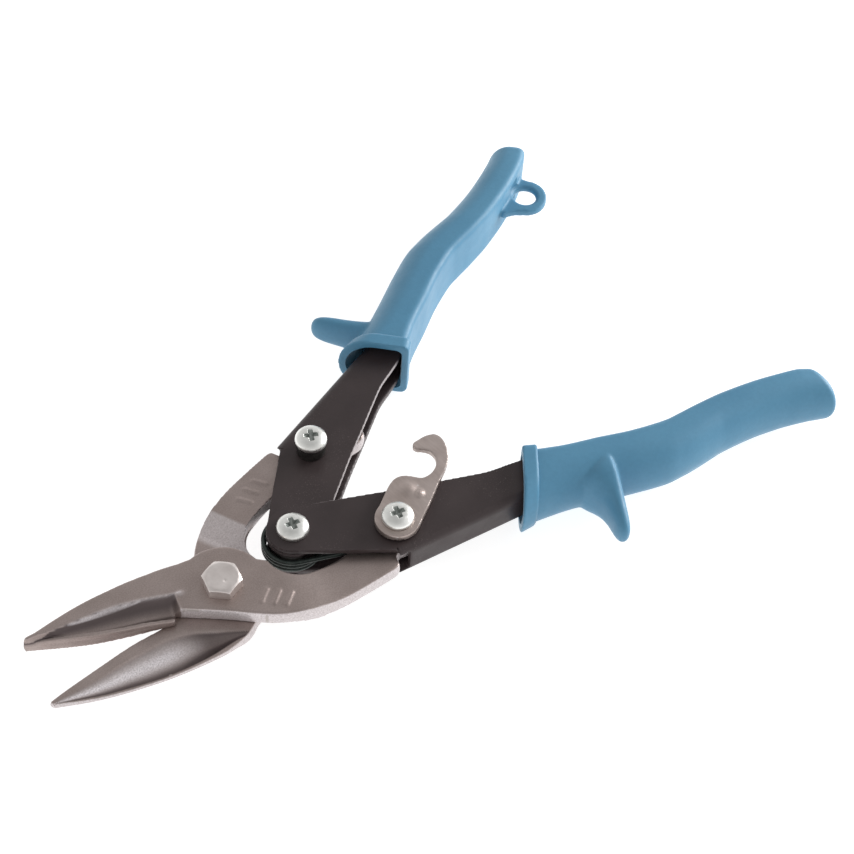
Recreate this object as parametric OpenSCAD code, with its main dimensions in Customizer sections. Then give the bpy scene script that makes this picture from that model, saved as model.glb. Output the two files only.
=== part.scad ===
// Compound-leverage aviation snips, lying flat with the jaws open.
// Frame: origin on the blade pivot axis at the resting plane, +X from the jaws to the grips,
// +Y to the left handle, +Z up.  "left" is the +Y handle, "right" the -Y handle.

/* [Linkage] */
// Blade pivot to tang screw
tang_arm = 52; // [48:0.5:56]
// Tang screw to handle pivot screw
handle_arm = 29.3; // [28:0.1:31]
// Angle of each tang to the centre line, jaws open
open_angle = 20.36; // [19:0.1:21]
// Height of the shear plane above the resting plane
mid_height = 10.8; // [10.6:0.1:12]

/* [Blades] */
// Thickness of each forged blade
blade_thick = 5; // [4.6:0.1:5.2]
// Radius of the round boss at the blade pivot
boss_r = 12.3; // [11.5:0.1:13]
// Shift of each tang towards the shear plane
joggle = 1.6; // [1.2:0.1:1.6]
// Thickness of the lower jaw at its outer edge
rim_thick = 2.6; // [2:0.1:4]
// Pivot bolt diameter
pivot_d = 8; // [7:0.5:9]

/* [Handles] */
// Sheet thickness of the stamped channels
sheet = 1.8; // [1.6:0.1:1.8]
// Height of the space for the return spring
spring_space = 5.8; // [5.2:0.1:6]
// Tang and handle screw diameter
screw_d = 5; // [4.5:0.5:5.5]
// Diameter of the screw heads
screw_head_d = 9.3; // [8.6:0.1:9.6]
// Height of the screw heads
screw_head_h = 3; // [2.6:0.1:3.2]

/* [Latch] */
// Plate thickness of the latch hook
latch_thick = 2; // [1.6:0.1:2.2]
// Radius of the hook's throat
throat_r = 4.95; // [4.9:0.05:5.1]

/* [Grips] */
// Half height of the collar at the mouth of each grip
collar_half = 10.8; // [10:0.1:11]
// How far the finger guards stand out
guard_out = 16; // [12:0.5:18]
// Diameter of the hole in the hanging loop
hang_d = 7.4; // [6:0.2:8]
// Thickness of the hanging loop
loop_thick = 2.6; // [2:0.1:3.6]

/* [Hidden] */
$fn = 64;

link_angle = asin(tang_arm * sin(open_angle) / handle_arm);
handle_pivot = [tang_arm * cos(open_angle) - handle_arm * cos(link_angle), 0];
ear_gap = 0.1;
run_fit = 0.05;
loose_fit = 0.45;
eps = 0.02;
inner_ear = spring_space / 2;
low_face = inner_ear + sheet;
high_face = low_face + ear_gap + sheet;
tang_top = blade_thick - joggle;
bolt_head_h = 3.8;
washer_h = 0.8;
nut_h = 3.2;
latch_washer_h = 0.6;
wire_d = 1.5;
wire_pitch = 1.52;
coil_r = 8.2;
leg_turn = 118;
leg_length = 13.4;
coil_sweep = 2 * 360 + 2 * (180 - leg_turn);
bush_r = 5.2;
latch_base = high_face + latch_washer_h;
head_seat = latch_base + latch_thick + run_fit;

// ---- frames -------------------------------------------------------------------------
module top_side() translate([0, 0, mid_height]) children();
module low_side() top_side() rotate([180, 0, 0]) children();
module tang_frame() rotate(-open_angle) children();
module handle_frame() translate(handle_pivot) rotate(-link_angle) children();
module at_handle_end() translate([handle_arm, 0, 0]) children();

// ---- small shapes -------------------------------------------------------------------
module hex_prism(flats, h) cylinder(d = flats / cos(30), h = h, $fn = 6);
module ring(r_out, r_in, h) difference() {
    cylinder(r = r_out, h = h);
    translate([0, 0, -eps]) cylinder(r = r_in, h = h + 2 * eps);
}
module cross_recess(size, depth) {
    for (a = [0, 90]) rotate(a + 20) translate([-size / 2, -0.6, -depth]) cube([size, 1.2, depth + 1]);
}
// Pan head on its seat at z = 0, with the threaded shank below it
module pan_screw(length) {
    difference() {
        rotate_extrude() polygon([[0, 0], [screw_head_d / 2, 0], [screw_head_d / 2, 0.9],
            for (a = [15:15:90]) [screw_head_d / 2 * cos(a), 0.9 + (screw_head_h - 0.9) * sin(a)]]);
        translate([0, 0, screw_head_h]) cross_recess(4.6, 1.6);
    }
    translate([0, 0, -length]) cylinder(d = screw_d, h = length + eps);
}
module thin_nut() difference() {
    translate([0, 0, -nut_h]) hex_prism(8, nut_h);
    translate([0, 0, -nut_h - eps]) cylinder(d = screw_d, h = nut_h + 2 * eps);
}

// ---- blades -------------------------------------------------------------------------
// Plan of a tang from the boss to its stop toe; +y is the inner side
function recess_arc() = [for (a = [-60:-12:-168]) [23.6 + 10.6 * cos(a), 4.9 + 10.6 * sin(a)]];
module tang_plan() polygon(concat(
    [[-8, -5.5], [0, -9.4], [5, -12.1], [10, -14.4], [14, -15.6], [18, -16.2], [24, -16.2],
     [30, -15.6], [36, -14.4], [42, -13], [46.5, -11.9], [48.1, -11], [48.8, -9.6], [49.6, -7.6],
     [52.7, -6.6], [57.2, -5.5], [61, -2], [64.5, 3], [68.3, 8], [68, 10.4], [66, 11.6],
     [63.6, 11.2], [60.5, 9.5], [52, 7], [45, 3.4], [39, -1.6], [34, -4.4]],
    recess_arc(), [[11.5, 4.4], [4, 8]]));
module pivot_hole(fit) translate([0, 0, -1]) cylinder(d = pivot_d + 2 * fit, h = blade_thick + 2);
// Tang and boss: flat on the shear side at z = 0 near the pivot, joggled down by the ramps
module tang() difference() {
    union() {
        linear_extrude(blade_thick) intersection() {
            circle(r = boss_r);
            polygon([[-15, -2], [0, -9.4], [10, -14.4], [30, 0], [20, 30], [-20, 30]]);
        }
        translate([0, 0, -joggle]) linear_extrude(blade_thick + joggle) tang_plan();
    }
    // shear side: flat until the ramp under the tang
    rotate([90, 0, 0]) translate([0, 0, -30]) linear_extrude(60)
        polygon([[-20, 0], [14.4, 0], [22, -joggle], [22, -3], [-20, -3]]);
    // outer side: ramp down to the joggled level
    rotate([90, 0, 0]) translate([0, 0, -30]) linear_extrude(60)
        polygon([[17, blade_thick], [31, tang_top], [80, tang_top], [80, 7], [17, 7]]);
    translate([tang_arm, 0, -5]) cylinder(d = screw_d + 2 * run_fit, h = 15);
}
// Long round-bottomed groove from point p to point q
module groove(p, q, r) {
    d = q - p;
    len = norm(d);
    translate(p) rotate([0, acos(d[2] / len), atan2(d[1], d[0])]) cylinder(r = r, h = len, $fn = 96);
}
module upper_jaw_plan() polygon([[-55.2, 2.1], [-48, 0], [-42, -1.6], [-36, -2.9], [-28, -3.9],
    [-20, -4.6], [-15.6, -5], [-14.9, -2.4], [-8, -5.6], [0, -8], [6, 6], [-4, 11.2], [-9, 10.8],
    [-14, 10.9], [-20, 10.6], [-25, 10.2], [-30, 9.5], [-35, 8.7], [-40, 7.6], [-45, 6.2],
    [-50, 4.6], [-54.6, 3.1]]);
module lower_jaw_plan() polygon([[-50.6, -23.6], [-45.5, -21.8], [-36, -18], [-26, -13.8],
    [-17.5, -9.2], [-8, -8], [0, -9], [4, 8], [-2, 12.2], [-5, 13], [-10, 12.2], [-15, 10],
    [-20, 7], [-25, 3.6], [-30, -0.2], [-35, -4.6], [-40, -9.4], [-45, -15], [-50.5, -22.4]]);

module top_blade() color([0.50, 0.45, 0.43]) top_side() tang_frame() difference() {
    union() {
        tang();
        difference() {
            linear_extrude(blade_thick) upper_jaw_plan();
            groove([-13.5, -1.3, 7.6], [-62, 3.4, 9.4], 5.6);
        }
    }
    pivot_hole(run_fit);
}
module bottom_blade() color([0.52, 0.47, 0.45]) low_side() tang_frame() difference() {
    union() {
        tang();
        difference() {
            linear_extrude(blade_thick) lower_jaw_plan();
            groove([-13, 6.2, -13.2], [-58, -31, -14.6], 14.6);
            // underside thins towards the outer edge
            translate([-50.6, -23, rim_thick]) rotate(41) rotate([-14, 0, 0]) translate([-5, -20, 0]) cube([52, 40, 20]);
        }
    }
    pivot_hole(run_fit);
}

// ---- pivot fasteners ----------------------------------------------------------------
module pivot_bolt() color([0.72, 0.68, 0.66]) top_side() {
    translate([0, 0, blade_thick]) intersection() {
        rotate(12) hex_prism(10, bolt_head_h);
        rotate_extrude() polygon([[0, 0], [5.6, 0], [5.9, 3], [4.6, bolt_head_h], [0, bolt_head_h]]);
    }
    translate([0, 0, -mid_height]) cylinder(d = pivot_d, h = mid_height + blade_thick + eps);
}
module pivot_washer() color([0.6, 0.58, 0.56]) top_side()
    translate([0, 0, -blade_thick - run_fit - washer_h]) ring(7, pivot_d / 2, washer_h);
module pivot_nut() color([0.62, 0.6, 0.58]) top_side() {
    seat = -blade_thick - run_fit - washer_h;
    difference() {
        translate([0, 0, seat - 4]) hex_prism(12, 4);
        translate([0, 0, seat - 5]) cylinder(d = pivot_d, h = 6);
    }
}

// ---- handles ------------------------------------------------------------------------
// The channel's sides; +y is the inner, open side
module flange_plan() polygon([[-4.5, -5.9], [0, -7.6], [12, -8.2], [27.6, -8.8], [29, -9.8],
    [31, -9.6], [65, 6.2], [72, 9.6], [80, 12.2], [90, 14.4], [100, 16.6], [110, 19], [120, 24],
    [130, 30], [130, 37.4], [120, 32.8], [110, 27.8], [100, 25.2], [90, 23.4], [80, 21.6],
    [72, 20.4], [68, 20], [63, 18.4], [57, 16.3], [50, 15], [40, 13.4], [30, 11.7], [20, 10.3],
    [10, 8.9], [0, 7.6], [-4.5, 5.9]]);
// The closed side of the channel, a strip along its outer edge
module web_plan() polygon([[30.4, -9.9], [31, -9.6], [65, 6.2], [72, 9.6], [80, 12.2], [90, 14.4],
    [100, 16.6], [110, 19], [120, 24], [130, 30], [130, 32.2], [119.2, 26], [109.4, 21],
    [99.6, 18.6], [89.6, 16.4], [79.4, 14.2], [71.2, 11.5], [64.2, 8.2], [30.4, -7.6]]);
module ear_plan() { circle(r = 7.5); flange_plan(); }
// Channel from z = -low_face to high_face, with its ears round the handle pivot
module handle(pivot_fit) difference() {
    union() {
        translate([0, 0, high_face - sheet]) linear_extrude(sheet) ear_plan();
        translate([0, 0, -low_face]) linear_extrude(sheet) ear_plan();
        translate([0, 0, -low_face]) linear_extrude(low_face + high_face) web_plan();
    }
    translate([0, 0, -15]) cylinder(d = screw_d + 2 * pivot_fit, h = 30);
    at_handle_end() translate([0, 0, -15]) cylinder(d = screw_d, h = 30);
}
module right_handle() color([0.24, 0.21, 0.21]) top_side() handle_frame() handle(0);
module left_handle() color([0.24, 0.21, 0.21]) low_side() handle_frame() handle(loose_fit);

// ---- grips --------------------------------------------------------------------------
// Stations along a grip: [x, inner face y, outer face y, half height]
stations = [[67.8, 21.6, 3.6, 9.8], [72, 22, 5.2, 10], [80, 23, 8, 10], [90, 25.2, 10.5, 9.9],
    [100, 27.2, 12.6, 9.7], [110, 30.2, 15.1, 9.5], [115, 32.6, 17.4, 9.4], [120, 35.3, 20.1, 9.3],
    [125, 37.8, 23.2, 9.2], [130, 40.1, 26.2, 9.1], [140, 43.8, 30.8, 9], [150, 46.6, 34.2, 8.9],
    [157.5, 47.8, 36, 8.7], [161.5, 47, 37, 7.8], [163.6, 45.3, 38.3, 5.8],
    [164.4, 43.6, 40.2, 2.7]];
collar_stations = [[67.3, 22.2, 2.1, collar_half - 0.3], [68, 22.6, 1.8, collar_half],
    [71.4, 23, 3.6, collar_half], [72, 22.6, 4.2, collar_half - 0.3]];
// D-shaped section: half an ellipse on the outer side, a flat inner face with round corners
function d_section(s) = let (x = s[0], y1 = s[1], y0 = s[2], b = s[3],
    a = min(9, (y1 - y0) * 0.62), yc = y0 + a, rc = min(2.2, b * 0.3, (y1 - yc) * 0.8)) concat(
    [for (t = [0:15:180]) [x, yc - a * sin(t), b * cos(t)]],
    [for (t = [90:-30:0]) [x, y1 - rc + rc * cos(t), -b + rc - rc * sin(t)]],
    [for (t = [0:30:90]) [x, y1 - rc + rc * cos(t), b - rc + rc * sin(t)]]);
module d_sweep(rows) {
    n = len(d_section(rows[0]));
    m = len(rows);
    polyhedron(points = [for (s = rows) each d_section(s)],
        faces = concat([[for (i = [0:n - 1]) i]], [[for (i = [0:n - 1]) m * n - 1 - i]],
            [for (k = [0:m - 2], i = [0:n - 1]) let (j = (i + 1) % n, a = k * n, b = a + n)
                each [[a + i, b + j, a + j], [a + i, b + i, b + j]]]),
        convexity = 6);
}
// Tongue that stands out from the outer side, its root at height y in the handle frame
module guard(x, y) translate([x, y, 0]) rotate([0, 0, 6]) hull() for (z = [-1, 1]) {
    translate([0, 2.6 - guard_out, z * 1.6]) sphere(r = 2.6, $fn = 24);
    translate([-0.4, 6 - guard_out, z * 3.4]) sphere(r = 2.6, $fn = 24);
    translate([-2, 3, z * 6.6]) sphere(r = 3, $fn = 24);
}
module grip(guard_x, guard_y) difference() {
    union() {
        d_sweep(stations);
        d_sweep(collar_stations);
        guard(guard_x, guard_y);
    }
    translate([0, 0, -low_face]) linear_extrude(low_face + high_face) intersection() {
        flange_plan();
        translate([60, 0]) square([72, 60]);
    }
}
module right_grip() color([0.34, 0.53, 0.64]) top_side() handle_frame() grip(92.5, 10.9);
module left_grip() color([0.34, 0.53, 0.64]) low_side() handle_frame() {
    grip(78, 7.2);
    difference() {
        translate([145.5, 49.8, -1.8]) linear_extrude(loop_thick) union() {
            circle(r = 7);
            polygon([[-7, 0], [-8.5, -6.4], [8.5, -5], [7, 0]]);
        }
        translate([145.5, 49.8, -5]) cylinder(d = hang_d, h = 10);
        d_sweep(stations);
    }
}

// ---- handle pivot and spring --------------------------------------------------------
module handle_pivot_screw() color([0.7, 0.68, 0.65]) top_side() handle_frame()
    translate([0, 0, high_face]) pan_screw(2 * high_face + nut_h + 0.6);
module handle_pivot_nut() color([0.6, 0.58, 0.56]) top_side() handle_frame()
    translate([0, 0, -high_face - run_fit]) thin_nut();
module spring_bush() color([0.3, 0.3, 0.29]) top_side() handle_frame()
    translate([0, 0, -inner_ear + run_fit]) ring(bush_r, screw_d / 2, spring_space - 2 * run_fit);
// Close turns of wire that leave the coil in a leg to each tang; a ring every 15 degrees
function wire_ring(c, turn) = [for (k = [0:7]) let (u = wire_d / 2 * cos(45 * k), w = wire_d / 2 * sin(45 * k))
    [c[0] + u * cos(turn), c[1] + u * sin(turn), c[2] + w]];
function coil_point(turn, height) = [coil_r * cos(turn), coil_r * sin(turn), height];
module return_spring() color([0.1, 0.12, 0.11]) top_side() translate(handle_pivot) {
    rise = wire_pitch * coil_sweep / 360;
    steps = floor(coil_sweep / 15);
    first = coil_point(leg_turn, -rise / 2);
    last = coil_point(leg_turn + coil_sweep, rise / 2);
    leg = [leg_length * cos(leg_turn - 90), leg_length * sin(leg_turn - 90), 0];
    rings = concat(
        [wire_ring(first + leg, leg_turn)],
        [for (i = [0:steps]) let (turn = leg_turn + coil_sweep * i / steps)
            wire_ring(coil_point(turn, rise * (i / steps - 0.5)), turn)],
        [wire_ring(last + [leg[0], -leg[1], 0], leg_turn + coil_sweep)]);
    n = 8;
    m = len(rings);
    polyhedron(points = [for (ring = rings) each ring], faces = concat(
        [[for (i = [0:n - 1]) i]], [[for (i = [0:n - 1]) m * n - 1 - i]],
        [for (k = [0:m - 2], i = [0:n - 1]) let (j = (i + 1) % n, a = k * n, b = a + n)
            each [[a + i, b + j, a + j], [a + i, b + i, b + j]]]), convexity = 10);
}

// ---- tang screws --------------------------------------------------------------------
// The left screw head stands on a spacer, which the latch hook swings round
module left_tang_spacer() color([0.25, 0.24, 0.23]) top_side() mirror([0, 1, 0]) handle_frame()
    at_handle_end() translate([0, 0, low_face]) ring(4.2, screw_d / 2, head_seat - low_face);
module left_tang_screw() color([0.7, 0.68, 0.65]) top_side() mirror([0, 1, 0]) handle_frame()
    at_handle_end() translate([0, 0, head_seat]) pan_screw(head_seat + high_face + nut_h + 0.6);
module left_tang_nut() color([0.6, 0.58, 0.56]) top_side() mirror([0, 1, 0]) handle_frame()
    at_handle_end() translate([0, 0, -high_face]) thin_nut();
module right_tang_screw() color([0.7, 0.68, 0.65]) top_side() handle_frame() at_handle_end()
    translate([0, 0, head_seat]) pan_screw(head_seat + low_face + nut_h + 0.6);
module right_tang_nut() color([0.6, 0.58, 0.56]) top_side() handle_frame() at_handle_end()
    translate([0, 0, -low_face]) thin_nut();

// ---- latch --------------------------------------------------------------------------
throat = [8.3, 18.3];
module latch_hook() color([0.55, 0.51, 0.48]) top_side() handle_frame() at_handle_end()
    translate([0, 0, latch_base]) difference() {
        linear_extrude(latch_thick) {
            circle(r = 6.9);
            polygon([[6, -3.4], [10.3, 5], [13.3, 11.5], [15.3, 15.5], [16.4, 19], [16.6, 22],
                [16, 25], [14.5, 27.3], [12.5, 28.4], [10, 28.2], [7.8, 27.2], [6.7, 25.6], [7, 24],
                [8.5, 22.6], throat, [5.2, 14.2], [3.8, 14.7], [1.3, 13.5], [0, 11], [-1.7, 8],
                [-4.4, 5.3], [-5, 0]]);
        }
        translate([throat[0], throat[1], -1]) cylinder(r = throat_r, h = latch_thick + 2);
        translate([0, 0, -1]) cylinder(d = screw_d + 2 * run_fit, h = latch_thick + 2);
    }
module latch_washer() color([0.5, 0.48, 0.46]) top_side() handle_frame() at_handle_end()
    translate([0, 0, high_face]) ring(5, screw_d / 2, latch_washer_h);

top_blade();
bottom_blade();
pivot_bolt();
pivot_washer();
pivot_nut();
left_handle();
right_handle();
left_grip();
right_grip();
handle_pivot_screw();
handle_pivot_nut();
spring_bush();
return_spring();
left_tang_screw();
left_tang_spacer();
left_tang_nut();
right_tang_screw();
right_tang_nut();
latch_hook();
latch_washer();
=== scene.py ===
import math

import bmesh
import bpy
import numpy as np
from mathutils import Matrix, Vector


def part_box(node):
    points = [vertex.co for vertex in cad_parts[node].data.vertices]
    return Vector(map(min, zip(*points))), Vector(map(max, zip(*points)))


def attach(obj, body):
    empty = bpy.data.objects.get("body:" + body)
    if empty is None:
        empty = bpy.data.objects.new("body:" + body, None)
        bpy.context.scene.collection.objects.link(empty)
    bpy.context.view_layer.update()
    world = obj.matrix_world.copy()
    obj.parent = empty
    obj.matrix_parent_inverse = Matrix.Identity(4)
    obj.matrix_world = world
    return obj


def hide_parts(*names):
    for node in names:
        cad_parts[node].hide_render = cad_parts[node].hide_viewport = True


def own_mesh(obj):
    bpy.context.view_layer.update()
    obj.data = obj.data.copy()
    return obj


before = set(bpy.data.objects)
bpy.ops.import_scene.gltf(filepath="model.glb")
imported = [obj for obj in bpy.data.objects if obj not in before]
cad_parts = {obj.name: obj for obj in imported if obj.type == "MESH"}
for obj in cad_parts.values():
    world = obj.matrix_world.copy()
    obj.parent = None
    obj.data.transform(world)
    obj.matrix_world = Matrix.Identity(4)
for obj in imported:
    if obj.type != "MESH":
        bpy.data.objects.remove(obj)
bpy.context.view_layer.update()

# Lengths are in millimetres until a piece is put in place; MM turns them into metres.
MM = 0.001


# ---- places taken from the frame ----------------------------------------------------
def centre(node):
    """Middle of a CAD node's box, in millimetres."""
    low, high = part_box(node)
    return (low + high) / 2 / MM


SHEET = 1.8
LOW_FACE = 4.7
HIGH_FACE = 6.6
BLADE_THICK = 5.0
BOSS_R = 12.3
PIVOT_R = 4.0
SCREW_R = 2.5
NUT_H = 3.2
HEAD_SEAT = 9.25
WASHER_H = 0.8
SHIM_H = 0.6
FIT = 0.05
LATCH_BASE = 7.2
LATCH_THICK = 2.0
WIRE_R = 0.75
COIL_R = 8.2
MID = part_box("right_handle")[1].z / MM - HIGH_FACE
RIGHT_END = centre("right_tang_screw")
LEFT_END = centre("left_tang_screw")
LINK_PIVOT = centre("handle_pivot_screw")
LINK_LENGTH = math.hypot(RIGHT_END.x - LINK_PIVOT.x, RIGHT_END.y - LINK_PIVOT.y)
OPEN_ANGLE = math.atan2(-RIGHT_END.y, RIGHT_END.x)
LINK_ANGLE = math.atan2(LINK_PIVOT.y - RIGHT_END.y, RIGHT_END.x - LINK_PIVOT.x)

TOP = Matrix.Translation((0, 0, MID))
LOW = TOP @ Matrix.Rotation(math.pi, 4, "X")
TANG = Matrix.Rotation(-OPEN_ANGLE, 4, "Z")
HANDLE = Matrix.Translation((LINK_PIVOT.x, LINK_PIVOT.y, 0)) @ Matrix.Rotation(-LINK_ANGLE, 4, "Z")
HANDLE_END = Matrix.Translation((LINK_LENGTH, 0, 0))


def lift(height):
    return Matrix.Translation((0, 0, height))


def upright(point, turn=0.0):
    """Frame at the mid height over a point, turned about +Z."""
    return Matrix.Translation((point.x, point.y, MID)) @ Matrix.Rotation(math.radians(turn), 4, "Z")


# ---- curves and sections ------------------------------------------------------------
def spline(rows, steps=6):
    """Catmull-Rom curve through the rows, ends included."""
    p = np.array(rows, float)
    p = np.vstack([2 * p[0] - p[1], p, 2 * p[-1] - p[-2]])
    out = []
    for a, b, c, d in zip(p[:-3], p[1:-2], p[2:-1], p[3:]):
        for u in np.arange(steps) / steps:
            bend = (2 * a - 5 * b + 4 * c - d) * u ** 2 + (3 * b - a - 3 * c + d) * u ** 3
            out.append((2 * b + (c - a) * u + bend) / 2)
    out.append(p[-2])
    return [tuple(q) for q in out]


def arc(x, y, radius, start, end, steps=24):
    """Points of a circular arc, angles in degrees."""
    turns = np.radians(np.linspace(start, end, steps + 1))
    return [(x + radius * math.cos(t), y + radius * math.sin(t)) for t in turns]


def smooth_step(value, start, end):
    """0 before start, 1 after end, with no corner between them."""
    t = np.clip((value - start) / (end - start), 0, 1)
    return t * t * (3 - 2 * t)


def follow(points):
    """A smooth function of the first column that passes through the points."""
    rows = np.array(spline(points, 8))
    order = np.argsort(rows[:, 0])
    return lambda value: np.interp(value, rows[order, 0], rows[order, 1])


# ---- meshes -------------------------------------------------------------------------
def slab(outline, low, high):
    """Prism on an outline."""
    n = len(outline)
    points = [(x, y, low) for x, y in outline] + [(x, y, high) for x, y in outline]
    sides = [(i, (i + 1) % n, n + (i + 1) % n, n + i) for i in range(n)]
    return points, sides + [tuple(range(n))[::-1], tuple(range(n, 2 * n))]


def loft(rings):
    """Closed skin over rings that have the same number of points."""
    n = len(rings[0])
    points = [tuple(p) for ring in rings for p in ring]
    faces = [tuple(range(n))[::-1], tuple(range(len(points) - n, len(points)))]
    for k in range(len(rings) - 1):
        a, b = k * n, (k + 1) * n
        faces += [(a + i, a + (i + 1) % n, b + (i + 1) % n, b + i) for i in range(n)]
    return points, faces


def lathe(profile, segments=72):
    """Profile of (radius, z) turned round Z; a closed profile gives a ring."""
    turns = np.arange(segments) / segments * 2 * math.pi
    rings = [[(r * math.cos(t), r * math.sin(t), z) for t in turns] for r, z in profile]
    points, faces = loft(rings)
    if profile[0] == profile[-1]:
        points, faces = points[:-segments], faces[2:]
        total = len(points)
        faces = [tuple(i % total for i in face) for face in faces]
    return points, faces


def joined(*solids):
    """One set of points and faces from several."""
    points, faces = [], []
    for some_points, some_faces in solids:
        start = len(points)
        points += list(some_points)
        faces += [tuple(i + start for i in face) for face in some_faces]
    return points, faces


def build(name, solid):
    """A linked object from points and faces, with faces outward."""
    mesh = bpy.data.meshes.new(name)
    mesh.from_pydata(solid[0], [], solid[1])
    obj = bpy.data.objects.new(name, mesh)
    bpy.context.scene.collection.objects.link(obj)
    shape = bmesh.new()
    shape.from_mesh(mesh)
    bmesh.ops.recalc_face_normals(shape, faces=shape.faces)
    shape.to_mesh(mesh)
    shape.free()
    return obj


def apply_modifiers(obj):
    """Makes the modifiers part of the mesh."""
    graph = bpy.context.evaluated_depsgraph_get()
    shaped = bpy.data.meshes.new_from_object(obj.evaluated_get(graph))
    old = obj.data
    obj.modifiers.clear()
    obj.data = shaped
    bpy.data.meshes.remove(old)


def remesh(obj, voxel):
    """Overlapping solids become one even skin."""
    modifier = obj.modifiers.new("remesh", "REMESH")
    modifier.mode = "VOXEL"
    modifier.voxel_size = voxel
    apply_modifiers(obj)


def relax(obj, repeats, factor=0.5):
    """Smooths the skin, which also rounds its edges a little."""
    modifier = obj.modifiers.new("relax", "SMOOTH")
    modifier.iterations = repeats
    modifier.factor = factor
    apply_modifiers(obj)


def combine(obj, other, operation):
    """Boolean with another object, which is used up."""
    modifier = obj.modifiers.new("combine", "BOOLEAN")
    modifier.operation = operation
    modifier.solver = "EXACT"
    modifier.object = other
    apply_modifiers(obj)
    bpy.data.objects.remove(other)


def cut(obj, solid):
    combine(obj, build("tool", solid), "DIFFERENCE")


def keep_inside(obj, solid):
    combine(obj, build("tool", solid), "INTERSECT")


def bevel(obj, width):
    """Takes every sharp edge off in two steps."""
    modifier = obj.modifiers.new("bevel", "BEVEL")
    modifier.width = width
    modifier.segments = 2
    modifier.angle_limit = math.radians(28)
    apply_modifiers(obj)


def even_normals(obj):
    """Keeps big flat faces flat beside small bevels."""
    modifier = obj.modifiers.new("normals", "WEIGHTED_NORMAL")
    modifier.keep_sharp = True


def paint(obj, name, values):
    """Stores one number per point for a material to read."""
    made = obj.data.attributes.new(name, "FLOAT", "POINT")
    made.data.foreach_set("value", values.astype(np.float32))


def per_point(obj, key):
    flat = np.empty(len(obj.data.vertices) * 3, np.float32)
    obj.data.vertices.foreach_get(key, flat)
    return flat.reshape(-1, 3).astype(float)


def points_of(obj):
    return per_point(obj, "co")


def normals_of(obj):
    return per_point(obj, "normal")


def move_points(obj, points):
    """Puts the points of a mesh in new places."""
    obj.data.vertices.foreach_set("co", points.astype(np.float32).ravel())
    obj.data.update()


def put(obj, place, body, material, nodes=(), crease=40):
    """Places a piece in the frame, gives it its finish and hands it to its body."""
    obj.data.transform(Matrix.Scale(MM, 4) @ place)
    obj.data.materials.clear()
    obj.data.materials.append(material)
    obj.data.shade_smooth()
    obj.data.set_sharp_from_angle(angle=math.radians(crease))
    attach(obj, body)
    if nodes:
        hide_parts(*nodes)


# ---- materials ----------------------------------------------------------------------
def node(tree, kind, **values):
    """A node with its inputs set by name."""
    made = tree.nodes.new(kind)
    for name, value in values.items():
        made.inputs[name.replace("_", " ")].default_value = value
    return made


def noise(tree, scale, detail=3.0, stretch=(1, 1, 1)):
    """Noise in the object's own space, features per metre."""
    place = tree.nodes.new("ShaderNodeTexCoord")
    spread = node(tree, "ShaderNodeMapping", Scale=stretch)
    grain = node(tree, "ShaderNodeTexNoise", Scale=scale, Detail=detail)
    tree.links.new(place.outputs["Object"], spread.inputs["Vector"])
    tree.links.new(spread.outputs["Vector"], grain.inputs["Vector"])
    return grain.outputs["Fac"]


def ramp(tree, source, stops):
    """Colour ramp over a source; a stop is (position, grey or colour)."""
    made = tree.nodes.new("ShaderNodeValToRGB")
    tree.links.new(source, made.inputs["Fac"])
    elements = made.color_ramp.elements
    while len(elements) < len(stops):
        elements.new(0.5)
    for element, (position, colour) in zip(elements, stops):
        element.position = position
        element.color = (*colour, 1) if isinstance(colour, tuple) else (colour, colour, colour, 1)
    return made.outputs["Color"]


def mix(tree, kind, amount, first, second):
    """Mixes two colours, each an output or a plain colour."""
    made = tree.nodes.new("ShaderNodeMix")
    made.data_type = "RGBA"
    made.blend_type = kind
    for socket, value in ((made.inputs[0], amount), (made.inputs[6], first), (made.inputs[7], second)):
        if isinstance(value, bpy.types.NodeSocket):
            tree.links.new(value, socket)
        elif isinstance(value, tuple):
            socket.default_value = (*value, 1)
        else:
            socket.default_value = value
    return made.outputs[2]


def bump(tree, shader, heights):
    """Chains (height, strength, distance) bumps into the shader's normal."""
    last = None
    for height, strength, distance in heights:
        made = node(tree, "ShaderNodeBump", Strength=strength, Distance=distance)
        tree.links.new(height, made.inputs["Height"])
        if last is not None:
            tree.links.new(last, made.inputs["Normal"])
        last = made.outputs["Normal"]
    tree.links.new(last, shader.inputs["Normal"])


def painted(tree, name):
    """The number per point that paint() stored under a name."""
    made = tree.nodes.new("ShaderNodeAttribute")
    made.attribute_name = name
    return made.outputs["Fac"]


def edges(tree, start, end):
    """White where the skin is convex, black elsewhere."""
    shape = tree.nodes.new("ShaderNodeNewGeometry")
    return ramp(tree, shape.outputs["Pointiness"], [(start, 0.0), (end, 1.0)])


def material(name):
    made = bpy.data.materials.new(name)
    made.use_nodes = True
    tree = made.node_tree
    shader = tree.nodes["Principled BSDF"]
    return made, tree, shader


def coat(tree, shader, colour, scale, detail, smoothest, roughest):
    """Gives a shader its colour and a roughness that wanders between two values."""
    tree.links.new(colour, shader.inputs["Base Color"])
    rough = ramp(tree, noise(tree, scale, detail), [(0.3, smoothest), (0.7, roughest)])
    tree.links.new(rough, shader.inputs["Roughness"])


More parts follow.
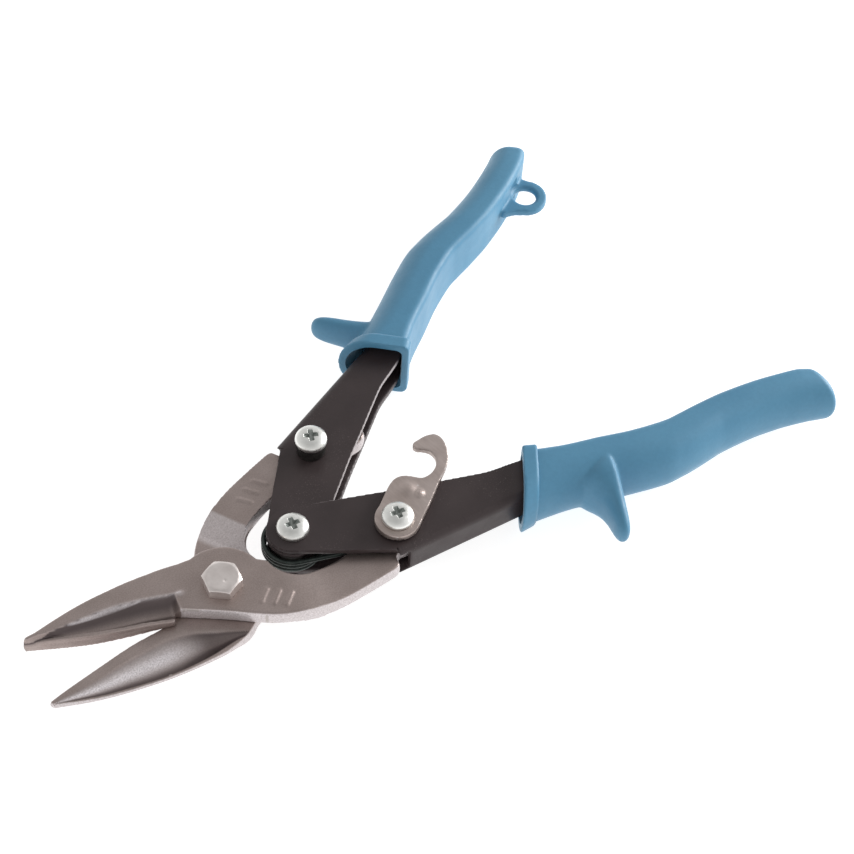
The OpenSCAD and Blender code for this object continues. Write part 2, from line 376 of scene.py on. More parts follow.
def blade_steel():
    """Satin ground steel, painted dark as shade where "scale" is painted, and a bright grainy painted
    highlight and reflection where "grain" is painted.
    """
    made, tree, shader = material("blade_steel")
    stops = [(0.35, (0.385, 0.316, 0.294)), (0.65, (0.448, 0.372, 0.350))]
    cloud = ramp(tree, noise(tree, 90, 4), stops)
    fine = ramp(tree, noise(tree, 2600, 2), [(0.35, 0.84), (0.65, 1.0)])
    body = mix(tree, "MULTIPLY", 1.0, cloud, fine)
    # painted shade: the colour goes dark where the "scale" attribute is painted
    shaded = mix(tree, "MIX", painted(tree, "scale"), body, (0.10, 0.080, 0.080))
    # painted highlight and reflection: a bright grainy colour where the "grain" attribute is painted
    highlight_grain = ramp(tree, noise(tree, 2300, 3), [(0.33, (0.62, 0.57, 0.58)), (0.7, (0.96, 0.91, 0.93))])
    highlighted = mix(tree, "MIX", painted(tree, "grain"), shaded, highlight_grain)
    # worn edges and painted highlight: convex edges are lightened
    wear_and_highlight = mix(tree, "MIX", edges(tree, 0.53, 0.62), highlighted, (0.50, 0.45, 0.43))
    coat(tree, shader, wear_and_highlight, 240, 5, 0.36, 0.48)
    # where the painted highlight is, the steel is also less metallic and so reads lighter
    metal = ramp(tree, painted(tree, "grain"), [(0.0, 0.9), (1.0, 0.3)])
    tree.links.new(metal, shader.inputs["Metallic"])
    bump(tree, shader, [(noise(tree, 2200, 3), 0.3, 0.00006), (noise(tree, 420, 4), 0.16, 0.00025)])
    return made


def bolt_steel():
    """Bright cold-headed steel, slightly clouded."""
    made, tree, shader = material("bolt_steel")
    cloud = ramp(tree, noise(tree, 240, 4), [(0.3, (0.66, 0.60, 0.575)), (0.7, (0.82, 0.76, 0.735))])
    # worn edges and painted highlight: convex edges are lightened
    wear_and_highlight = mix(tree, "MIX", edges(tree, 0.53, 0.62), cloud, (0.78, 0.74, 0.72))
    coat(tree, shader, wear_and_highlight, 700, 4, 0.34, 0.46)
    shader.inputs["Metallic"].default_value = 0.95
    bump(tree, shader, [(noise(tree, 1500, 4), 0.18, 0.00008)])
    return made


def zinc():
    """Bright zinc plate."""
    made, tree, shader = material("zinc_screw")
    cloud = ramp(tree, noise(tree, 300, 4), [(0.3, (0.74, 0.74, 0.71)), (0.7, (0.93, 0.93, 0.90))])
    coat(tree, shader, cloud, 900, 4, 0.3, 0.42)
    shader.inputs["Metallic"].default_value = 1.0
    bump(tree, shader, [(noise(tree, 1100, 3), 0.12, 0.0001)])
    return made


def recess_shade_steel():
    """Plating down in a cross recess, dull, and darkened as painted shade."""
    made, tree, shader = material("recess_shade_steel")
    cloud = ramp(tree, noise(tree, 900, 3), [(0.3, (0.30, 0.325, 0.305)), (0.7, (0.46, 0.48, 0.46))])
    coat(tree, shader, cloud, 700, 3, 0.4, 0.6)
    shader.inputs["Metallic"].default_value = 0.7
    bump(tree, shader, [(noise(tree, 1500, 2), 0.2, 0.00008)])
    return made


def black_steel():
    """Brown-black oxide over stamped sheet, with sparse rubbed specks and sheared edges painted pale as
    bare steel and a painted reflection.
    """
    made, tree, shader = material("black_steel")
    stops = [(0.3, (0.036, 0.0255, 0.026)), (0.7, (0.052, 0.038, 0.0385))]
    cloud = ramp(tree, noise(tree, 70, 5), stops)
    specks = ramp(tree, noise(tree, 2600, 2), [(0.60, 0.0), (0.74, 1.0)])
    where = ramp(tree, noise(tree, 60, 2), [(0.48, 0.0), (0.62, 0.5)])
    sparse = mix(tree, "MULTIPLY", 1.0, specks, where)
    rubbed = mix(tree, "MIX", sparse, cloud, (0.15, 0.12, 0.115))
    # sheared edges painted pale: bare steel and a painted reflection
    sheared = mix(tree, "MIX", painted(tree, "bare_and_reflection"), rubbed, (0.36, 0.32, 0.32))
    coat(tree, shader, sheared, 180, 5, 0.36, 0.5)
    shader.inputs["Metallic"].default_value = 0.15
    shader.inputs["Specular IOR Level"].default_value = 0.42
    bump(tree, shader, [(noise(tree, 1300, 4), 0.18, 0.00012), (noise(tree, 160, 3), 0.05, 0.0006)])
    return made


def vinyl():
    """Soft blue dipped vinyl, faintly mottled."""
    made, tree, shader = material("grip_vinyl")
    cloud = ramp(tree, noise(tree, 38, 5), [(0.3, (0.066, 0.225, 0.365)), (0.7, (0.086, 0.262, 0.41))])
    fine = ramp(tree, noise(tree, 900, 3), [(0.3, 0.94), (0.7, 1.0)])
    body = mix(tree, "MULTIPLY", 1.0, cloud, fine)
    coat(tree, shader, body, 260, 5, 0.44, 0.56)
    shader.inputs["Specular IOR Level"].default_value = 0.5
    shader.inputs["Sheen Weight"].default_value = 0.4
    shader.inputs["Sheen Roughness"].default_value = 0.3
    shader.inputs["Sheen Tint"].default_value = (0.8, 0.92, 1.0, 1)
    bump(tree, shader, [(noise(tree, 1500, 3), 0.16, 0.00014), (noise(tree, 90, 3), 0.1, 0.0007)])
    return made


def dark_wire():
    """Oiled dark green-black wire."""
    made, tree, shader = material("spring_wire")
    stops = [(0.3, (0.024, 0.032, 0.029)), (0.7, (0.055, 0.068, 0.062))]
    cloud = ramp(tree, noise(tree, 500, 4), stops)
    coat(tree, shader, cloud, 700, 3, 0.24, 0.38)
    shader.inputs["Metallic"].default_value = 0.6
    bump(tree, shader, [(noise(tree, 2400, 2), 0.15, 0.00006)])
    return made


def oiled_bush():
    """Dark oiled steel."""
    made, tree, shader = material("bush_steel")
    cloud = ramp(tree, noise(tree, 300, 4), [(0.3, (0.03, 0.03, 0.028)), (0.7, (0.07, 0.066, 0.062))])
    coat(tree, shader, cloud, 600, 3, 0.32, 0.5)
    shader.inputs["Metallic"].default_value = 0.8
    bump(tree, shader, [(noise(tree, 1500, 3), 0.15, 0.0001)])
    return made


def latch_steel():
    """Warm grey stamped strip with a faint rolling grain."""
    made, tree, shader = material("latch_steel")
    cloud = ramp(tree, noise(tree, 130, 4), [(0.3, (0.46, 0.385, 0.355)), (0.7, (0.56, 0.48, 0.45))])
    grain = ramp(tree, noise(tree, 1500, 2, (1, 0.12, 1)), [(0.3, 0.88), (0.7, 1.0)])
    body = mix(tree, "MULTIPLY", 1.0, cloud, grain)
    # worn edges and painted highlight: convex edges are lightened
    wear_and_highlight = mix(tree, "MIX", edges(tree, 0.54, 0.64), body, (0.60, 0.55, 0.53))
    coat(tree, shader, wear_and_highlight, 500, 4, 0.34, 0.46)
    shader.inputs["Metallic"].default_value = 0.92
    bump(tree, shader, [(noise(tree, 1900, 3), 0.2, 0.00008)])
    return made


BLADE = blade_steel()
BOLT = bolt_steel()
ZINC = zinc()
RECESS_SHADE = recess_shade_steel()
BLACK = black_steel()
VINYL = vinyl()
WIRE = dark_wire()
BUSH = oiled_bush()
LATCH = latch_steel()


# ---- blades -------------------------------------------------------------------------
BLADE_VOXEL = 0.3
JOGGLE = 1.6
TANG_ARM = 52
SHEAR_GAP = 0.04
FORGED_BULGE = 0.35
MARK_H = 0.34
MARK_FADE = 0.5
NUB_X = -11.8
NUB_Y = 1.4
TANG_SWING = math.radians(9.2)
RELIEF_H = 2.7
RELIEF_GAP = 0.12


def tang_outline():
    """Tang from the boss to its stop toe; +y is the inner side."""
    outer = spline([(0, -9.4), (5, -12.1), (10, -14.4), (14, -15.6), (18, -16.2), (24, -16.2),
                    (30, -15.6), (36, -14.4), (42, -13), (46.5, -11.9)])
    toe = spline([(46.5, -11.9), (47.9, -11.1), (48.2, -9.8), (48.2, -8.2)])
    heel = spline([(50.2, -6.6), (53.6, -6.3), (57.2, -5.5), (61, -2), (64.5, 3), (67.4, 7.4),
                   (67, 9.4), (64, 9.9), (60.5, 8.7), (52, 6.6), (45, 3.2), (39, -0.7), (34, -3.1),
                   (28.9, -4.2)])
    inner = arc(23.6, 4.9, 9.7, -84, -168)
    return outer + toe[1:] + heel + inner + [(11.5, 4.4), (4, 8), (-8, -5.5)]


def boss_outline():
    """Round boss, cut off by the tang's straight outer edge."""
    round_edge = arc(0, 0, BOSS_R, -60, 215, 110)
    return [(x, y) for x, y in round_edge if y > -9.4 - 0.52 * max(x, 0) - 0.55 * min(x, 0)]


def marks(x, y, spots, length, width):
    """Height of plain raised bars at (x, y, turn in degrees)."""
    height = np.zeros_like(x)
    for spot_x, spot_y, turn in spots:
        c, s = math.cos(math.radians(turn)), math.sin(math.radians(turn))
        along = (x - spot_x) * c + (y - spot_y) * s
        across = (y - spot_y) * c - (x - spot_x) * s
        reach = np.hypot(np.maximum(np.abs(along) - length / 2, 0), across)
        side = 1 - smooth_step(reach, width / 2 - MARK_FADE, width / 2 + MARK_FADE)
        height = np.maximum(height, MARK_H * side)
    return height


def tang_levels(x):
    """Shear side and outer side of a tang at each x."""
    near = SHEAR_GAP - JOGGLE * np.clip((x - 14.4) / 7.6, 0, 1)
    far = BLADE_THICK - JOGGLE * smooth_step(x, 15, 33)
    return near, far


def raw_blade(name, jaw):
    """Blank of even thickness: tang, boss and jaw in one."""
    outlines = (tang_outline(), boss_outline(), jaw)
    obj = build(name, joined(*[slab(outline, 0, BLADE_THICK) for outline in outlines]))
    remesh(obj, BLADE_VOXEL)
    relax(obj, 3)
    return obj


def shape_blade(obj, near, far):
    """Lays the two flat sides of a blank onto the heights near and far, with a forged bulge."""
    p = points_of(obj)
    n = normals_of(obj)
    share = np.clip(p[:, 2] / BLADE_THICK, 0, 1)
    wall = smooth_step(1 - np.abs(n[:, 2]), 0.35, 0.8)
    bulge = FORGED_BULGE * np.sin(math.pi * share) * wall
    p[:, 0] += n[:, 0] * bulge
    p[:, 1] += n[:, 1] * bulge
    p[:, 2] = near + (far - near) * share
    move_points(obj, p)
    relax(obj, 1, 0.4)


UPPER_EDGE = [(-55.2, 2.1), (-48, 0), (-42, -1.6), (-36, -2.9), (-28, -3.9), (-20, -4.6)]


def upper_jaw_outline():
    """Upper jaw from its cutting edge over the shoulder to its back."""
    cutting = spline(UPPER_EDGE + [(-15.6, -5)])
    shoulder = [(-14.9, -2.4), (-8, -5.6), (0, -8), (6, 6), (-4, 11.2)]
    back = spline([(-9, 10.8), (-14, 10.9), (-20, 10.6), (-25, 10.2), (-30, 9.5), (-35, 8.7), (-40, 7.6),
                   (-45, 6.2), (-50, 4.6), (-54.6, 3.1)])
    return cutting + shoulder + back


def upper_share(x, y):
    """0 at the top of the cutting land, 1 at the ridge above the hollow."""
    ridge = follow([(-56, 1.5), (-52, 2.2), (-45, 3.0), (-38, 3.6), (-30, 3.9), (-22, 3.2),
                    (-15, 2.1), (-11, 1.4)])
    land = follow([(-56, 2.2), (-50, 1.1), (-40, -0.9), (-30, -2.8), (-24, -3.4), (-19, -4.0),
                   (-12, -4.4)])
    return (y - land(x)) / np.maximum(ridge(x) - land(x), 0.4)


def upper_hollow(x, y):
    """Height of the hollow behind the upper cutting land."""
    rim = 3.05 + 0.5 * smooth_step(-x, 22, 55) - 0.5 * smooth_step(x, -24, -15)
    u = np.clip(upper_share(x, y), 0, 1)
    sag = 2.1 * smooth_step(-x, 57, 36) * (4 * u * (1 - u)) ** 0.8
    level = rim + (BLADE_THICK - rim) * u - sag
    end = smooth_step(x, -16.0, -12.6) ** 1.5
    return np.where(upper_share(x, y) < 1, level + (BLADE_THICK - level) * end, BLADE_THICK)


def nub(x, y, spread):
    """1 on the small raised end of the ridge beside the boss, 0 away from it."""
    return np.exp(-((x - NUB_X) ** 2 + ((y - NUB_Y) * 1.5) ** 2) / spread)


def top_blade():
    """Upper blade: tang with three bars, boss, and a jaw hollowed behind its cutting land."""
    obj = raw_blade("upper_blade", upper_jaw_outline())
    p = points_of(obj)
    x, y = p[:, 0], p[:, 1]
    near, far = tang_levels(x)
    jaw = x < -9
    far = np.where(jaw, np.minimum(far, upper_hollow(x, y)), far)
    far = far + 0.5 * nub(x, y, 1.2)
    far = far + marks(x, y, [(9.4, -7.7, 50), (12.4, -9.4, 50), (15.4, -11.1, 50)], 4.2, 1.1)
    lean_land(p)
    move_points(obj, p)
    shape_blade(obj, near, far)
    drill(obj)
    relieve(obj)
    paint_upper(obj)
    put(obj, TOP @ TANG, "upper_jaw", BLADE, ["top_blade"])


def lean_land(p):
    """The upper cutting land leans back a little from its edge."""
    x, y = p[:, 0], p[:, 1]
    lean = follow([(-56, 0.2), (-50, 0.9), (-40, 1.1), (-28, 0.9), (-19, 0.4), (-15, 0.0)])
    edge = follow(UPPER_EDGE + [(-15, -5)])
    near_edge = 1 - smooth_step(y - edge(x), 0.5, 3.0)
    p[:, 1] += np.where(x < -15, lean(x) * np.clip(p[:, 2] / 3, 0, 1) * near_edge, 0)


def paint_upper(obj):
    """Painted shade in the hollow, a painted highlight on its ridge, and side walls lightened as a
    lighter forged finish and a painted reflection.
    """
    x, y, z = points_of(obj).T
    u = upper_share(x, y)
    # painted shade in the hollow, stored as "scale": darkest below the ridge and towards the rear
    inside = (x < -13.2) * (z > 1.2) * smooth_step(u, 0.02, 0.3) * (1 - smooth_step(u, 0.98, 1.03))
    rear = smooth_step(x, -34, -18) * (1 - smooth_step(u, 0.0, 0.4))
    scale = inside * (0.25 + 0.7 * smooth_step(u, 0.3, 0.75) + 0.35 * rear)
    # painted highlight: a thin bright line along the ridge and on its nub
    crest_highlight = np.exp(-((u - 1.02) / 0.05) ** 2) * smooth_step(x, -54, -20) * (x < -11.5) * (z > 3)
    crest_highlight = crest_highlight + nub(x, y, 1.5) * (z > 4)
    paint(obj, "scale", np.clip(scale, 0, 1))
    # side walls lightened, partly a lighter forged finish and partly a painted reflection
    walls = 0.65 * wall_share(obj) * (1 - (x < -13.2) * (y < 3)) * (z < tang_levels(x)[1] - 0.2)
    paint(obj, "grain", np.clip(0.42 * crest_highlight + walls, 0, 1))


def drill(obj):
    """Holes for the pivot bolt and the tang screw."""
    cut(obj, slab(arc(0, 0, PIVOT_R + FIT, 0, 354, 59), -3, 8))
    cut(obj, slab(arc(TANG_ARM, 0, SCREW_R + FIT, 0, 352.5, 47), -4, 7))


def relieve(obj):
    """Clears the shear side of a blade where the spring coil comes when the jaws close."""
    arm = LINK_PIVOT - RIGHT_END
    for share in (0, 0.35, 0.7, 1):
        spot = RIGHT_END + Matrix.Rotation(share * TANG_SWING, 3, "Z") @ arm
        spot = Matrix.Rotation(OPEN_ANGLE, 3, "Z") @ spot
        reach = COIL_R + WIRE_R + RELIEF_GAP
        cut(obj, slab(arc(spot.x, spot.y, reach, 0, 355, 72), -3, RELIEF_H))


def lower_jaw_outline():
    """Lower jaw from its cutting edge over the shoulder to its back."""
    cutting = spline([(-50.6, -23.6), (-45.5, -21.8), (-36, -18), (-26, -13.8), (-17.5, -9.2)])
    shoulder = [(-8, -8), (0, -9), (4, 8)]
    back = spline([(-2, 12.1), (-6, 12.4), (-10, 11.9), (-15, 10), (-20, 7), (-25, 3.6), (-30, -0.2),
                   (-35, -4.6), (-40, -9.4), (-45, -15), (-50.5, -22.4)])
    return cutting + shoulder + back


LOWER_TURN = math.radians(41)


def lower_axes(x, y):
    """Distance out along the lower jaw and across it towards its outer rim."""
    along = -x * math.cos(LOWER_TURN) - y * math.sin(LOWER_TURN)
    across = -x * math.sin(LOWER_TURN) + y * math.cos(LOWER_TURN)
    return along, across


def lower_share(x, y):
    """0 at the flat strip along the lower cutting edge, 1 at the outer rim."""
    along, across = lower_axes(x, y)
    strip = follow([(-6, 15.4), (0.2, 12.8), (7.1, 10.1), (12.6, 8.4), (19.4, 8.2), (30.7, 10.5),
                    (41.2, 13.6), (51.4, 15.8), (54, 16.3)])
    rim = follow([(-6, 15.4), (0.4, 15.2), (10.9, 17.9), (23, 19.3), (36.6, 18.8), (44, 17.9),
                  (52.8, 16.2), (54, 16)])
    return along, (across - strip(along)) / np.maximum(rim(along) - strip(along), 0.3)


def lower_scoop(x, y):
    """Depth of the long hollow ground in the lower jaw."""
    along, u = lower_share(x, y)
    depth = 1.75 * smooth_step(along, -3, 9) * (0.25 + 0.75 * smooth_step(-along, -53, -26))
    return depth * np.sin(math.pi * np.clip(u, 0, 1) ** 0.9) ** 0.8


def bottom_blade():
    """Lower blade: tang with three bars, boss, and a jaw with a long scoop."""
    obj = raw_blade("lower_blade", lower_jaw_outline())
    p = points_of(obj)
    x, y = p[:, 0], p[:, 1]
    near, far = tang_levels(x)
    along, across = lower_axes(x, y)
    thin = np.maximum(2.6 - 0.249 * (across - 15.8), 1.6)
    rim_only = smooth_step(along, -5, 3) * smooth_step(np.hypot(x, y), 8.5, 11)
    far = far - np.maximum(far - thin, 0) * np.maximum(smooth_step(along, 5, 9), rim_only)
    near = near + np.where(x < 0, lower_scoop(x, y), 0)
    near = near - marks(x, y, [(29.4, -9.4, 80), (33.2, -9.4, 80), (37, -8.8, 80)], 3.8, 1.1)
    shape_blade(obj, near, far)
    drill(obj)
    relieve(obj)
    paint_lower(obj)
    put(obj, LOW @ TANG, "lower_jaw", BLADE, ["bottom_blade"])


def wall_share(obj):
    """1 on the forged side walls, 0 on flat faces."""
    return 1 - smooth_step(np.abs(normals_of(obj)[:, 2]), 0.45, 0.8)


def paint_lower(obj):
    """Painted highlight down the middle of the scoop, painted shade towards its rim and the pivot, and
    the tang ramp and side walls painted lighter.
    """
    x, y, z = points_of(obj).T
    along, u = lower_share(x, y)
    wall = wall_share(obj)
    scoop = (x < 1) * (z < 2.4) * smooth_step(u, 0.0, 0.1) * (1 - smooth_step(u, 0.97, 1.03))
    scoop = scoop * (1 - wall * (along < 6))
    # painted shade in the scoop, stored as "scale": darker towards the pivot, the rim and the strip
    rear = 0.75 * smooth_step(-along, -19, -7)
    dark = smooth_step(u, 0.55, 0.95) + rear + 0.5 * (1 - smooth_step(u, 0.0, 0.3))
    # painted highlight down the middle of the scoop
    bright = np.exp(-((u - 0.42) / 0.25) ** 2) * smooth_step(along, 7, 22)
    paint(obj, "scale", np.clip(scoop * dark * 0.85, 0, 0.9))
    # tang ramp painted lighter, partly a rougher finish and partly a painted highlight where it faces
    # the light
    ramp_face = smooth_step(x, 11.5, 13.5) * (1 - smooth_step(x, 21.5, 22.5)) * (z < 0.6) * (y < 0)
    # side walls lightened, partly a lighter forged finish and partly a painted reflection
    walls = wall * 0.6 * (1 - scoop) * (z > tang_levels(x)[0] + 0.2)
    paint(obj, "grain", np.clip(scoop * bright + ramp_face * 0.5 + walls, 0, 1))


# ---- fasteners ----------------------------------------------------------------------
HEAD_R = 4.65
HEAD_H = 3.0
HEAD_RIM = 0.8
BOLT_HEAD = 3.8
LOCK_NUT_H = 4
NUT_CHAMFER = math.radians(30)
SPARE_THREAD = 0.6


def crown_height(radius):
    """Height of the pan head's top at a radius."""
    lean = np.clip(radius / HEAD_R, 0, 1) ** (4 / 3)
    return HEAD_RIM + (HEAD_H - HEAD_RIM) * np.sqrt(1 - lean ** 2)


def dome_profile():
    """Pan head on z = 0 with its rounded rim."""
    rim = [(0.02, 0), (HEAD_R - 0.3, 0), (HEAD_R - 0.06, 0.12), (HEAD_R, 0.4)]
    dome = [(HEAD_R * math.cos(t) ** 0.75, HEAD_RIM + (HEAD_H - HEAD_RIM) * math.sin(t))
            for t in np.radians(np.arange(0, 90, 5))]
    return rim + dome + [(0.02, HEAD_H)]


def recess(turn):
    """One tapered arm of a cross recess."""
    c, s = math.cos(math.radians(turn)), math.sin(math.radians(turn))
    rings = []
    for z, out, wide in ((-1.7, 0.9, 0.4), (-0.5, 1.9, 0.66), (0.6, 2.6, 0.9)):
        ring = [(-out, -wide), (out, -wide), (out, wide), (-out, wide)]
        rings.append([(x * c - y * s, x * s + y * c, HEAD_H + z) for x, y in ring])
    return loft(rings)


def pan_screw(name, place, length, body, replaced):
    """Head with a cross recess, its walls dull and darkened as painted shade, and a threaded shank
    below.
    """
    obj = build(name + "_head", lathe(dome_profile(), 96))
    for turn in (20, 110):
        cut(obj, recess(turn))
    remesh(obj, 0.11)
    relax(obj, 5)
    sunk = []
    for face in obj.data.polygons:
        radius = math.hypot(face.center.x, face.center.y)
        if radius < 3.2 and 0.6 < face.center.z < crown_height(radius) - 0.14:
            sunk.append(face.index)
    put(obj, place, body, ZINC, [replaced], 70)
    # cross recess walls get the darker recess steel: painted shade
    obj.data.materials.append(RECESS_SHADE)
    for index in sunk:
        obj.data.polygons[index].material_index = 1
    shank = build(name + "_shank", lathe(threaded(SCREW_R, length, 6, 0.8), 48))
    put(shank, place @ lift(-length), body, ZINC, [], 50)


def hexagon(flats):
    """Outline of a hexagon, given the distance across its flats."""
    return arc(0, 0, flats / 2 / math.cos(math.pi / 6), 0, 300, 5)


def nut(name, flats, height, bore):
    """Nut on z = 0 with both faces chamfered round."""
    obj = build(name, slab(hexagon(flats), 0, height))
    out = flats / 2 / math.cos(math.pi / 6)
    slope = math.tan(NUT_CHAMFER)
    drop = (out - flats / 2 + 0.15) * slope
    past = (flats / 2 - 1.15) * slope
    cone = [(0.02, -past), (1.0, -past), (out, drop), (out, height - drop), (1.0, height + past),
            (0.02, height + past)]
    keep_inside(obj, lathe(cone, 96))
    throat = [(0.02, -0.1), (bore + 0.5, -0.1), (bore, 0.45), (bore, height - 0.45),
              (bore + 0.5, height + 0.1), (0.02, height + 0.1)]
    cut(obj, lathe(throat, 48))
    bevel(obj, 0.1)
    even_normals(obj)
    return obj


def ring_piece(name, outer, bore, height, chamfer):
    """Flat ring on z = 0 with chamfered rims."""
    profile = [(bore, chamfer), (bore + chamfer, 0), (outer - chamfer, 0), (outer, chamfer),
               (outer, height - chamfer), (outer - chamfer, height), (bore + chamfer, height),
               (bore, height - chamfer), (bore, chamfer)]
    obj = build(name, lathe(profile, 96))
    bevel(obj, chamfer * 0.4)
    return obj


def pivot_bolt():
    """Hex head with a domed chamfer, a small punch mark and a shank through both blades."""
    obj = build("pivot_bolt_head", slab(hexagon(10), 0, BOLT_HEAD))
    chamfer = [(0.02, -1), (5.0, -1), (5.85, 0.35), (5.9, 2.9), (5.55, 3.25), (5.0, 3.56),
               (4.3, 3.86), (3.0, 4.3), (0.02, 4.6)]
    keep_inside(obj, lathe(chamfer, 96))
    remesh(obj, 0.13)
    relax(obj, 3)
    p = points_of(obj)
    dent = 0.22 * np.exp(-((p[:, 0] + 0.6) ** 2 + (p[:, 1] + 1.6) ** 2) / 0.16)
    p[:, 2] -= dent * (p[:, 2] > 3)
    move_points(obj, p)
    place = TOP @ lift(BLADE_THICK) @ Matrix.Rotation(math.radians(12), 4, "Z")
    put(obj, place, "upper_jaw", BOLT, ["pivot_bolt"], 60)
    shank = threaded(PIVOT_R, MID + BLADE_THICK, 8, 1.25)
    obj = build("pivot_bolt_shank", lathe(shank, 64))
    put(obj, Matrix.Identity(4), "upper_jaw", BOLT)


def threaded(radius, length, turned, pitch):
    """Shank standing on z = 0 with a chamfered tip and its first stretch threaded."""
    profile = [(0.02, 0), (radius - 0.6, 0), (radius - 0.1, 0.5)]
    for k in range(int((turned - 1) / pitch)):
        profile += [(radius, 0.7 + k * pitch), (radius - 0.3 * pitch, 0.7 + (k + 0.5) * pitch)]
    return profile + [(radius, turned), (radius, length), (0.02, length)]


def pivot_hardware():
    """Bolt through both blades, with its washer and lock nut below."""
    pivot_bolt()
    seat = -BLADE_THICK - FIT - WASHER_H
    obj = ring_piece("pivot_washer_ring", 7, PIVOT_R, WASHER_H, 0.12)
    put(obj, TOP @ lift(seat), "upper_jaw", BOLT, ["pivot_washer"])
    obj = nut("pivot_lock_nut", 12, LOCK_NUT_H, PIVOT_R)
    put(obj, TOP @ lift(seat - LOCK_NUT_H), "upper_jaw", BOLT, ["pivot_nut"], 50)


def screws_and_nuts():
    """The three screws of the linkage, their nuts, the left spacer and the latch shim."""
    pivot = TOP @ HANDLE
    right = pivot @ HANDLE_END
    left = upright(LEFT_END, math.degrees(LINK_ANGLE))
    for name, place, seat, face, body, replaced in (
            ("link_screw", pivot, HIGH_FACE, HIGH_FACE, "right_arm", "handle_pivot_screw"),
            ("right_screw", right, HEAD_SEAT, LOW_FACE, "right_arm", "right_tang_screw"),
            ("left_screw", left, HEAD_SEAT, HIGH_FACE, "left_arm", "left_tang_screw")):
        length = seat + face + NUT_H + SPARE_THREAD
        pan_screw(name, place @ lift(seat), length, body, replaced)
    for name, place, seat, body, replaced in (
            ("link_nut", pivot, -HIGH_FACE - FIT, "right_arm", "handle_pivot_nut"),
            ("right_nut", right, -LOW_FACE, "right_arm", "right_tang_nut"),
            ("left_nut", left, -HIGH_FACE, "left_arm", "left_tang_nut")):
        obj = nut(name, 8, NUT_H, SCREW_R)
        put(obj, place @ lift(seat - NUT_H), body, ZINC, [replaced], 50)
    obj = ring_piece("left_spacer", 4.2, SCREW_R, HEAD_SEAT - LOW_FACE, 0.25)
    put(obj, left @ lift(LOW_FACE), "left_arm", BUSH, ["left_tang_spacer"])
    obj = ring_piece("latch_shim", 5, SCREW_R, SHIM_H, 0.12)
    put(obj, right @ lift(HIGH_FACE), "right_arm", LATCH, ["latch_washer"])


# ---- spring -------------------------------------------------------------------------
LEG_TURN = 118
COIL_PITCH = 1.52
LEG_LENGTH = 13.4
BUSH_R = 5.2
BUSH_H = 5.7


def wire(name, body, path, blunt=None):
    """Round wire along a path; the ring with the index blunt is a chamfered end."""
    rings = []
    for i, point in enumerate(path):
        ahead = (path[min(i + 1, len(path) - 1)] - path[max(i - 1, 0)]).normalized()
        side = ahead.cross(Vector((0, 0, 1))).normalized()
        up = side.cross(ahead)
        size = WIRE_R * (0.72 if i == blunt else 1)
        rings.append([point + side * size * math.cos(a) + up * size * math.sin(a)
                      for a in np.arange(18) / 18 * 2 * math.pi])
    obj = build(name, loft(rings))
    put(obj, upright(LINK_PIVOT), body, WIRE, [], 60)
    return obj


def return_spring():
    """Close coil whose legs leave along the tangents; each leg goes with its own arm."""
    sweep = 720 + 2 * (180 - LEG_TURN)
    steps = sweep // 4
    rise = COIL_PITCH * sweep / 360
    turns = [math.radians(LEG_TURN + sweep * i / steps) for i in range(steps + 1)]
    path = [Vector((COIL_R * math.cos(t), COIL_R * math.sin(t), rise * (i / steps - 0.5)))
            for i, t in enumerate(turns)]
    coil = wire("torsion_spring", "right_arm", path)
    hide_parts("return_spring")
    lean = math.radians(LEG_TURN - 90)
    for word, root, side in (("left", path[0], 1), ("right", path[-1], -1)):
        leg = Vector((math.cos(lean), side * math.sin(lean), 0)) * LEG_LENGTH
        path = [root + leg * k / 7 for k in range(8)]
        obj = wire("spring_leg_" + word, word + "_arm", path, 7)
        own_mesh(obj)
    obj = ring_piece("bush_ring", BUSH_R, SCREW_R, BUSH_H, 0.3)
    place = upright(LINK_PIVOT) @ lift(-BUSH_H / 2)
    put(obj, place, "right_arm", BUSH, ["spring_bush"])


# ---- handles ------------------------------------------------------------------------
HANDLE_VOXEL = 0.36
BEND_R = 2.4
END_R = 7.5
WEB_START = 29.5
FLAT_REACH = 0.15
CLOSE_FIT = 0.02
PIVOT_PLAY = 0.45
WEB_OUTER = [(29.4, -10.35), (48, -1.7), (65, 6.2), (72, 9.6), (80, 12.2), (90, 14.4), (100, 16.6),
             (110, 19), (120, 24), (130, 30)]
FLANGE_INNER = [(130, 37.4), (120, 32.8), (110, 27.8), (100, 25.2), (90, 23.4), (80, 21.6),
                (72, 20.4), (68, 20), (63, 18.4), (57, 16.3), (50, 15), (40, 13.4), (30, 11.7),
                (20, 10.3), (10, 8.9), (0, 7.5)]


def flange_outline():
    """Side of a channel; +y is its open side."""
    front = [(0, -7.5), (12, -8.2), (27.8, -8.8), (29.0, -9.2)]
    return arc(0, 0, END_R, 90, 270, 30) + front + spline(WEB_OUTER) + spline(FLANGE_INNER)


def web_outline():
    """Closed side of a channel, seen along the flanges' thickness."""
    outer = [p for p in spline(WEB_OUTER) if p[0] > WEB_START]
    inside = [(x - 0.45 * SHEET, y + 0.95 * SHEET) for x, y in outer]
    return outer + inside[::-1]


